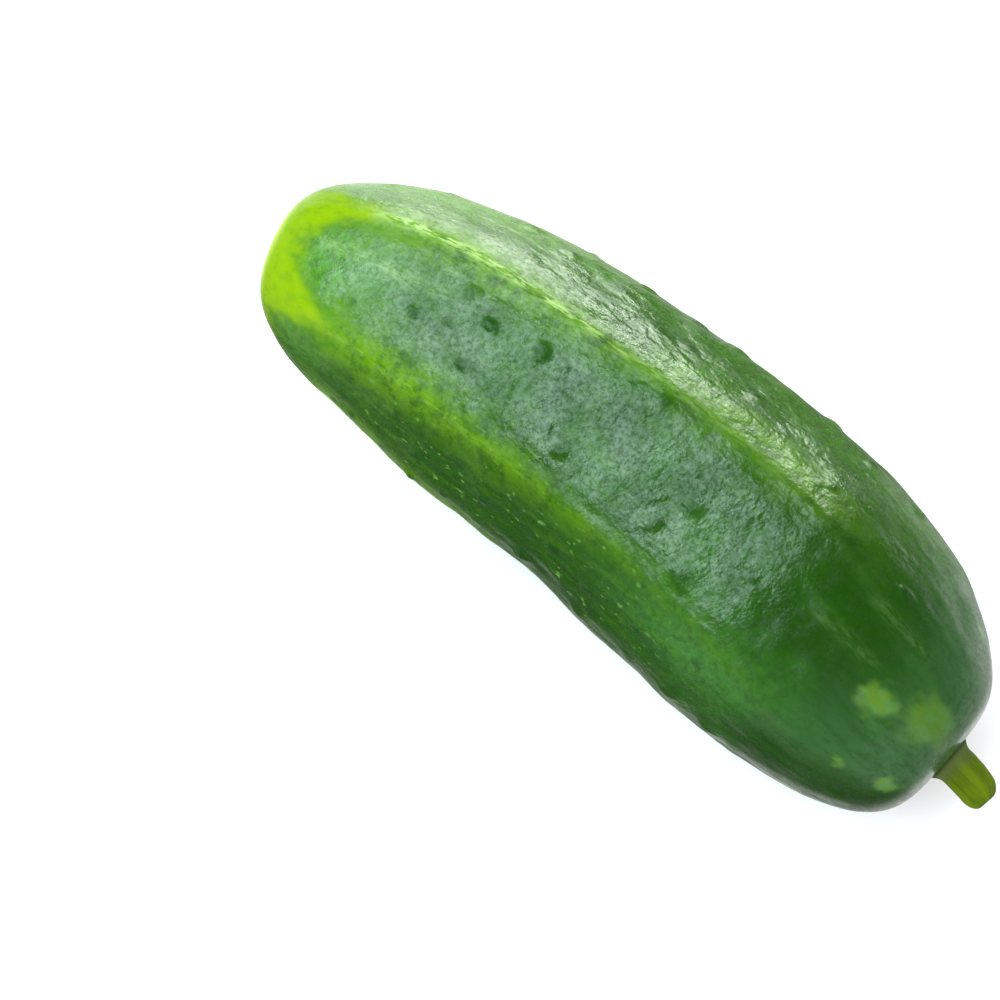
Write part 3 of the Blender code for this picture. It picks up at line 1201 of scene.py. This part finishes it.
    def fields(self, skin: Skin, wart: Field) -> dict[str, Field]:
        """All the fields that the finish reads.

        Args:
            skin: the places.
            wart: how much each place belongs to a wart.

        Returns:
            Fields from 0 to 1, by name.
        """
        along, angle = skin.along, skin.angle
        band, lime = self.band(skin), self.lime(skin)
        side = within(angle, self.side) * fall(along, self.side_ends)
        side = side * (self.side_least + (1.0 - self.side_least) * rise(along, self.side_starts))
        far_side = within(angle, self.far_side)
        stem_end = rise(along, self.stem_end_starts)
        dark_green_and_shade = self.dark_green_and_shade(skin)
        streaked = self.streaked_least + (1.0 - self.streaked_least) * side
        knobbly = within(angle, self.knobbly) * rise(along, self.knobbly_starts)
        fields = {
            "band": band * skin.ribbed,
            "line": self.line(skin),
            "lime": lime,
            # painted glow round the blossom dimple
            "rim": hill(along - along[:1], self.rim_width),
            "young": within(angle, self.young) * fall(along, self.young_ends),
            "side": side,
            "side_patch": self.side_patch.over(along, angle),
            "far_side": far_side * (1.0 - self.far_side_fading * stem_end),
            "far_tip": self.far_tip_strength * far_side * fall(along, self.far_tip_ends),
            "streaked": streaked * (1.0 - self.streaked_fading * stem_end),
            "stem_end": stem_end * (1.0 - self.stem_end_dark_green_and_shade * dark_green_and_shade),
            "dark_green_and_shade": dark_green_and_shade,
            "dull": self.dull(skin, lime),
            "leathery": self.leathery(skin, side, band),
            "knobbly": knobbly * fall(along, self.knobbly_ends),
            "flecked": side * rise(along, self.flecked_starts),
            "wart": wart,
            "blotch": self.blotch(skin),
        }
        return {name: np.clip(values, 0.0, 1.0) for name, values in fields.items()}


@dataclass
class Fruit:
    """The fruit: a fine net of skin from the dimple at the blossom tip to the seat of the stem."""

    shape: SkinShape
    warts: WartRule
    pattern: Pattern = field(default_factory=Pattern)
    finish: SkinFinish = field(default_factory=SkinFinish)
    columns: int = 408
    skin_rows: int = 226
    rim_radius: float = 6.2
    rim_blend: float = 0.6
    dimple: tuple[tuple[float, float], ...] = ((4.6, 1.05), (5.3, 0.95), (5.8, 0.62), (6.05, 0.25))
    seat_radius: float = 3.5
    seat_blend: float = 0.3
    seat: tuple[tuple[float, float], ...] = ((3.1, 0.05), (2.4, 0.0))
    calm_end: Ramp = (2.0, 10.0)
    swell_size: float = 15.0
    swell_height: float = 0.22
    dent_size: float = 5.0
    dent_height: float = 0.12
    far_dents: Arc = (36.0, 26.0)
    far_dents_start: Ramp = (38.0, 15.0)
    far_dent_size: float = 6.5
    far_dent_height: float = 0.10
    furrow_size: float = 2.6
    furrow_stretch: float = 0.10
    furrow_height: float = 0.07
    edge_waves: tuple[tuple[float, float], ...] = ((19.0, -0.55), (36.0, 0.40), (57.0, -0.50), (70.0, 0.40))
    edge: Arc = (-98.0, 26.0)
    edge_length: float = 6.5

    def rows(self) -> Field:
        """Places along the fruit, evenly spaced over the skin.

        Returns:
            One place for each row of the net.
        """
        first = self.shape.place_of_radius(self.rim_radius, at_stem=False)
        last = self.shape.place_of_radius(self.seat_radius, at_stem=True)
        along = np.linspace(first, last, 20001)
        radius = self.shape.body_radius(along)
        travelled = np.concatenate([[0.0], np.cumsum(np.hypot(np.diff(along), np.diff(radius)))])
        return np.interp(np.linspace(0.0, travelled[-1], self.skin_rows), travelled, along)

    def unrolled(self, skin: Skin) -> Field:
        """Places on the skin spread out flat, for fine patterns, with their seam under the belly.

        Args:
            skin: the places.

        Returns:
            An array with three numbers last, the third of them 0.
        """
        steps = np.hypot(np.diff(skin.along, axis=0), np.diff(skin.radius, axis=0))
        travelled = np.vstack([np.zeros_like(skin.along[:1]), np.cumsum(steps, axis=0)])
        return np.stack([travelled, skin.radius * skin.angle, np.zeros_like(skin.along)], axis=-1)

    def relief(self, skin: Skin) -> Field:
        """Soft swells, dents and long furrows, and the near side's wavy lower edge.

        Args:
            skin: the places.

        Returns:
            How far the skin is raised at each place.
        """
        along, base = skin.along, skin.straight
        calm_ends = rise(along, self.calm_end) * rise(self.shape.length - along, self.calm_end)
        swells = self.swell_height * ripple(base, self.swell_size, 2, 3.1)
        dents = self.dent_height * ripple(base, self.dent_size, 3, 7.7)
        far_side = within(skin.angle, self.far_dents) * rise(along, self.far_dents_start)
        dents = dents + self.far_dent_height * far_side * ripple(base, self.far_dent_size, 2, 17.0)
        furrowed = base * (self.furrow_stretch, 1.0, 1.0)
        furrows = self.furrow_height * ripple(furrowed, self.furrow_size, 2, 11.3)
        waves = sum(height * hill(along - place, self.edge_length) for place, height in self.edge_waves)
        return calm_ends * (swells + dents + furrows) + waves * within(skin.angle, self.edge)

    def build(self) -> bpy.types.Mesh:
        """The skin's mesh with the fields that its finish reads.

        Returns:
            The mesh.
        """
        shape = self.shape
        rows = self.rows()
        angles = np.arange(self.columns) * math.tau / self.columns - math.pi
        along, angle = np.meshgrid(rows, angles, indexing="ij")
        skin = Skin(shape, along, angle)
        lift, wart = self.warts.relief(along, angle)
        radius = shape.skin_radius(along, angle) + lift + self.relief(skin)
        at_rim = rise(along, (rows[0], self.rim_blend))
        at_seat = rise(rows[-1] - along, (0.0, self.seat_blend))
        radius = skin.radius + np.minimum(at_rim, at_seat) * (radius - skin.radius)
        net = shape.points(along, angle, radius)
        net[..., 2] = np.maximum(net[..., 2], 0.0)
        fields = self.pattern.fields(skin, wart)
        fields["straight"] = straight(along, angle, radius)
        fields["unrolled"] = self.unrolled(skin)
        rings = [net]
        for ring_radius, inward in reversed(self.dimple):
            ring_radii = np.full_like(along[:1], ring_radius)
            rings.insert(0, shape.points(along[:1], angle[:1], ring_radii, inward))
        for ring_radius, outward in self.seat:
            ring_radii = np.full_like(along[:1], ring_radius)
            rings.append(shape.points(along[-1:], angle[-1:], ring_radii, outward))
        mesh = closed_mesh("fruit_skin", np.concatenate(rings))
        before, after = len(self.dimple), len(self.seat)
        for name, values in fields.items():
            padding = ((before, after), (0, 0), (0, 0))[: values.ndim]
            write_field(mesh, name, np.pad(values, padding, mode="edge"))
        return mesh

    def dress(self) -> bpy.types.Object:
        """Builds the fruit and puts it in the scene."""
        return add_piece(self.build(), "fruit", self.finish.make())


@dataclass
class Stem:
    """The stub of stalk: five-angled, flared where it leaves the fruit, rounded at the cut."""

    shape: SkinShape
    finish: StemFinish = field(default_factory=StemFinish)
    seat_radius: float = 3.5
    length: float = 7.7
    radius: float = 2.8
    taper: float = 0.10
    flare: float = 0.62
    flare_length: float = 1.5
    root: float = 0.5
    cut_round: float = 2.4
    cut_shrink: float = 0.62
    bend: float = math.radians(-8.0)
    angle_count: int = 5
    angle_depth: float = 0.055
    fibre_height: float = 0.06
    fibre_size: float = 0.9
    fibre_stretch: float = 0.2
    lump_height: float = 0.05
    lump_size: float = 1.6
    sides: int = 120
    rings: int = 64
    ring_crowding: float = 1.5
    cut_rings: tuple[float, ...] = (0.86, 0.68, 0.48, 0.3, 0.12)
    cut_hollow: float = 0.28
    base_ends: Ramp = (0.6, 2.4)
    seam_place: float = 0.1
    seam_width: float = 0.3

    def build(self) -> bpy.types.Mesh:
        """The stalk's mesh with the fields that its finish reads.

        Returns:
            The mesh.
        """
        start = self.shape.place_of_radius(self.seat_radius, at_stem=True)
        angles = np.arange(self.sides) * math.tau / self.sides
        from_cut = (self.length + self.root) * np.linspace(1.0, 0.0, self.rings) ** self.ring_crowding
        ahead, angle = np.meshgrid(self.length - from_cut, angles, indexing="ij")
        flare = self.flare * np.clip(1.0 - ahead / self.flare_length, 0.0, 1.3) ** 2
        to_cut = np.clip((self.length - ahead) / self.cut_round, 0.0, 1.0)
        rounding = self.cut_shrink * (1.0 - np.sqrt(to_cut * (2.0 - to_cut)))
        tapered = 1.0 - self.taper * np.clip(ahead / self.length, 0.0, 1.0)
        angled = 1.0 + self.angle_depth * np.cos(self.angle_count * angle)
        radius = (self.radius * tapered + flare) * (1.0 - rounding) * angled
        base = straight(ahead, angle, radius)
        streaky = base * (self.fibre_stretch, 1.0, 1.0)
        radius = radius + self.fibre_height * ripple(streaky, self.fibre_size, 3, 2.0)
        radius = radius + self.lump_height * ripple(base, self.lump_size, 2, 5.0)
        hollows = [self.length - self.cut_hollow * (1.0 - part ** 2) for part in self.cut_rings]
        ahead = np.vstack([ahead] + [np.full_like(angles, hollow) for hollow in hollows])
        radius = np.vstack([radius] + [radius[-1] * part for part in self.cut_rings])
        angle = np.vstack([angle] + [angles] * len(self.cut_rings))
        lean = self.bend * np.clip(ahead, 0.0, None) / self.length
        mesh = closed_mesh("stem_stub", self.shape.points(np.array(start), angle, radius, ahead, lean))
        on_cut = np.zeros_like(ahead)
        on_cut[-len(self.cut_rings) - 2:] = 1.0
        write_field(mesh, "straight", straight(ahead, angle, radius))
        write_field(mesh, "angle", np.clip(np.cos(self.angle_count * angle), 0.0, 1.0))
        write_field(mesh, "base", fall(ahead, self.base_ends))
        write_field(mesh, "seam", hill(ahead - self.seam_place, self.seam_width))
        write_field(mesh, "cut", on_cut)
        return mesh

    def dress(self) -> bpy.types.Object:
        """Builds the stem and puts it in the scene."""
        return add_piece(self.build(), "stem", self.finish.make())


@dataclass
class BlossomScar:
    """The corky disc where the flower sat: slit from its rim, with a torn nub and a hole beside it."""

    shape: SkinShape
    finish: CorkFinish = field(default_factory=CorkFinish)
    rim_radius: float = 6.2
    radius: float = 6.05
    floor: float = -0.85
    edge: float = -0.42
    dome: float = 0.25
    sides: int = 160
    rings: int = 60
    slits: tuple[tuple[float, float, float], ...] = (
        (20.0, 0.42, 0.30), (85.0, 0.55, 0.22), (150.0, 0.35, 0.26), (215.0, 0.60, 0.34), (300.0, 0.45, 0.24),
    )
    slit_depth: float = 0.35
    slit_wander: float = 0.25
    slit_waves: float = 2.3
    slit_start: float = 0.2
    nub_place: tuple[float, float] = (0.9, math.radians(200.0))
    nub_radius: float = 1.75
    nub_rise: float = 1.05
    nub_raggedness: float = 0.35
    nub_edge: tuple[float, float] = (0.55, 0.6)
    crater_depth: float = 0.35
    crater_shift: float = 0.1
    crater_part: float = 0.5
    hole_place: tuple[float, float] = (1.9, math.radians(75.0))
    hole_radius: float = 0.85
    hole_floor: float = 0.35
    hole_depth: float = 0.55
    crumb_height: float = 0.16

    def surface(self, radius: Field, angle: Field) -> tuple[Field, dict[str, Field]]:
        """The cork's shape and pattern.

        Args:
            radius: how far places are from the disc's middle.
            angle: their directions round it.

        Returns:
            The height over the skin's rim, and the fields that the finish reads.
        """
        part = radius / self.radius
        base = straight(np.zeros_like(radius), angle, radius)
        height = self.edge + self.dome * (1.0 - part ** 2) + self.crumb_height * ripple(base, 1.7, 4, 4.0)
        slit = np.zeros_like(radius)
        for degrees, reach, width in self.slits:
            wander = self.slit_wander * np.sin(radius * self.slit_waves + degrees)
            sideways = turn_between(angle, math.radians(degrees)) * radius + wander
            slit = np.maximum(slit, hill(sideways, width) * rise(part, (reach, self.slit_start)))
        nub_distance = self.distance(radius, angle, self.nub_place)
        ragged = nub_distance + self.nub_raggedness * ripple(base, 0.9, 3, 9.0)
        nub = fall(ragged, (self.nub_edge[0] * self.nub_radius, self.nub_edge[1] * self.nub_radius))
        crater = hill(nub_distance - self.crater_shift, self.crater_part * self.nub_radius)
        hole = fall(self.distance(radius, angle, self.hole_place), (self.hole_floor, self.hole_radius))
        torn = 1.0 + self.nub_raggedness * ripple(base, 0.8, 3, 6.0)
        height = height + nub * self.nub_rise * torn - self.crater_depth * crater
        height = height - self.slit_depth * slit - self.hole_depth * hole * (1.0 - nub)
        return height, {"slit": slit * (1.0 - nub), "nub": nub, "hole": hole * (1.0 - nub)}

    def distance(self, radius: Field, angle: Field, place: tuple[float, float]) -> Field:
        """How far places on the disc are from one given by its radius and angle.

        Args:
            radius: how far places are from the disc's middle.
            angle: their directions round it.
            place: the given place.

        Returns:
            One distance for each place.
        """
        across = radius * np.sin(angle) - place[0] * math.sin(place[1])
        upward = radius * np.cos(angle) - place[0] * math.cos(place[1])
        return np.hypot(across, upward)

    def build(self) -> bpy.types.Mesh:
        """The disc's mesh, from its middle over the cork to the floor of the dimple.

        Returns:
            The mesh.
        """
        start = self.shape.place_of_radius(self.rim_radius, at_stem=False)
        angles = np.arange(self.sides) * math.tau / self.sides
        radii = np.linspace(0.04, 1.0, self.rings) ** 0.8 * self.radius
        radius, angle = np.meshgrid(radii, angles, indexing="ij")
        height, fields = self.surface(radius, angle)
        height = np.vstack([height, np.full((1, self.sides), self.floor)])
        radius = np.vstack([radius, radius[-1:]])
        angle = np.vstack([angle, angle[-1:]])
        cork = self.shape.points(np.full_like(radius, start), angle, radius, -height)
        mesh = closed_mesh("blossom_scar_cork", cork)
        write_field(mesh, "straight", straight(-height, angle, radius))
        for name, values in fields.items():
            write_field(mesh, name, np.pad(values, ((0, 1), (0, 0)), mode="edge"))
        return mesh

    def dress(self) -> bpy.types.Object:
        """Builds the scar and puts it in the scene."""
        return add_piece(self.build(), "blossom_scar", self.finish.make())


@dataclass(frozen=True)
class Softbox:
    """A soft rectangular lamp facing down: its middle and its sides in metres, and how bright it looks."""

    name: str
    place: tuple[float, float, float]
    size: tuple[float, float]
    radiance: float
    colour: Colour = (1.0, 1.0, 1.0)

    def switch_on(self) -> None:
        """Adds the lamp to the scene."""
        lamp = bpy.data.lights.new(self.name, "AREA")
        lamp.shape = "RECTANGLE"
        lamp.size, lamp.size_y = self.size
        lamp.energy = self.radiance * math.pi * self.size[0] * self.size[1]
        lamp.color = self.colour
        holder = bpy.data.objects.new(self.name, lamp)
        holder.location = self.place
        bpy.context.scene.collection.objects.link(holder)
        log.info("%s: radiance %.1f", self.name, self.radiance)


@dataclass(frozen=True)
class Glow:
    """A bright round area of the surround, for the skin to reflect.

    It is given by its angle from straight up and its bearing from +X, both in degrees, by how bright it
    looks, and by the angles from its middle where it starts to fade and where it ends.
    """

    from_zenith: float
    bearing: float
    radiance: float
    full_to: float
    fades_by: float

    def direction(self) -> tuple[float, float, float]:
        """The direction of its middle."""
        down, turn = math.radians(self.from_zenith), math.radians(self.bearing)
        return math.sin(down) * math.cos(turn), math.sin(down) * math.sin(turn), math.cos(down)


@dataclass
class Studio:
    """The floor, the lamp, the surround and the camera, which looks steeply down on the fruit."""

    floor: FloorFinish = field(default_factory=FloorFinish)
    floor_half: float = 3.0
    fill: float = 1.2
    dim: float = 0.06
    glows: tuple[Glow, ...] = (
        Glow(97.0, 119.0, 6.5, 12.0, 21.0),
        Glow(88.0, 102.0, 8.5, 4.0, 14.0),
        Glow(118.0, 72.0, 0.5, 10.0, 25.0),
        Glow(112.0, 287.0, 0.3, 10.0, 28.0),
        Glow(132.0, 150.0, 1.4, 15.0, 38.0),
        Glow(126.0, 236.0, 0.4, 4.0, 16.0),
        Glow(85.0, -25.0, 0.5, 18.0, 40.0),
        Glow(125.0, 35.0, 0.7, 25.0, 50.0),
        Glow(170.0, 10.0, 0.7, 8.0, 36.0),
    )
    lamp: Softbox = Softbox("overhead_softbox", (-0.61, -0.18, 0.80), (1.09, 1.08), 5.15, (0.86, 1.0, 1.14))
    azimuth: float = math.radians(39.975)
    elevation: float = math.radians(75.562)
    distance: float = 382.75
    aim: tuple[float, float, float] = (-3.43, -6.58, 19.6)
    shift_right: float = -13.5
    shift_up: float = -0.1
    lens: float = 100.0
    sensor: float = 36.0

    def lay_floor(self) -> None:
        """The pale floor that the fruit lies on."""
        half = self.floor_half
        corners = [(-half, -half, 0.0), (half, -half, 0.0), (half, half, 0.0), (-half, half, 0.0)]
        mesh = bpy.data.meshes.new("studio_floor")
        mesh.from_pydata(corners, [], [(0, 1, 2, 3)])
        mesh.materials.append(self.floor.make())
        plane = bpy.data.objects.new("studio_floor", mesh)
        plane.visible_glossy = False
        bpy.context.scene.collection.objects.link(plane)

    def light(self) -> None:
        """The lamp, an even fill, and a dim surround with its glows, which only shiny surfaces show."""
        world = bpy.data.worlds.new("studio_surround")
        world.use_nodes = True
        sky = Nodes(world.node_tree)
        looking = sky.node("ShaderNodeTexCoord").outputs["Generated"]
        total = self.dim
        for glow in self.glows:
            facing = sky.node("ShaderNodeVectorMath", operation="DOT_PRODUCT")
            sky.feed(facing.inputs[0], looking)
            sky.feed(facing.inputs[1], glow.direction())
            edges = [math.cos(math.radians(degrees)) for degrees in (glow.fades_by, glow.full_to)]
            total = sky.sum("ADD", total, sky.span(facing.outputs["Value"], *edges, 0.0, glow.radiance))
        choice = sky.node("ShaderNodeMix")
        sky.feed(choice.inputs["Factor"], sky.node("ShaderNodeLightPath").outputs["Is Glossy Ray"])
        sky.feed(choice.inputs["A"], self.fill)
        sky.feed(choice.inputs["B"], total)
        background = sky.tree.nodes["Background"]
        sky.feed(background.inputs["Color"], (1.0, 1.0, 1.0))
        sky.feed(background.inputs["Strength"], choice.outputs["Result"])
        bpy.context.scene.world = world
        self.lamp.switch_on()

    def set_camera(self) -> None:
        """The camera, by its bearing round the fruit."""
        sin_a, cos_a = math.sin(self.azimuth), math.cos(self.azimuth)
        sin_e, cos_e = math.sin(self.elevation), math.cos(self.elevation)
        right = Vector((cos_a, sin_a, 0.0))
        up = Vector((-sin_e * sin_a, sin_e * cos_a, cos_e))
        back = Vector((sin_a * cos_e, -cos_a * cos_e, sin_e))
        middle = Vector(self.aim) + right * self.shift_right + up * self.shift_up
        camera = bpy.data.cameras.new("camera")
        camera.lens = self.lens
        camera.sensor_width = self.sensor
        holder = bpy.data.objects.new("camera", camera)
        turn = Matrix((right, up, back)).transposed().to_4x4()
        holder.matrix_world = Matrix.Translation((middle + back * self.distance) * MM) @ turn
        bpy.context.scene.collection.objects.link(holder)
        bpy.context.scene.camera = holder

    def set_up(self) -> None:
        """Floor, light, camera and a plain view of the light's values."""
        self.lay_floor()
        self.light()
        self.set_camera()
        bpy.context.scene.view_settings.view_transform = "Standard"


def main() -> None:
    """Builds the pieces in order, then the studio round them."""
    logging.basicConfig(level=logging.INFO, format="%(name)s: %(message)s")
    shape = SkinShape()
    Fruit(shape, WartRule(shape)).dress()
    Stem(shape).dress()
    BlossomScar(shape).dress()
    Studio().set_up()


if __name__ == "__main__":
    main()
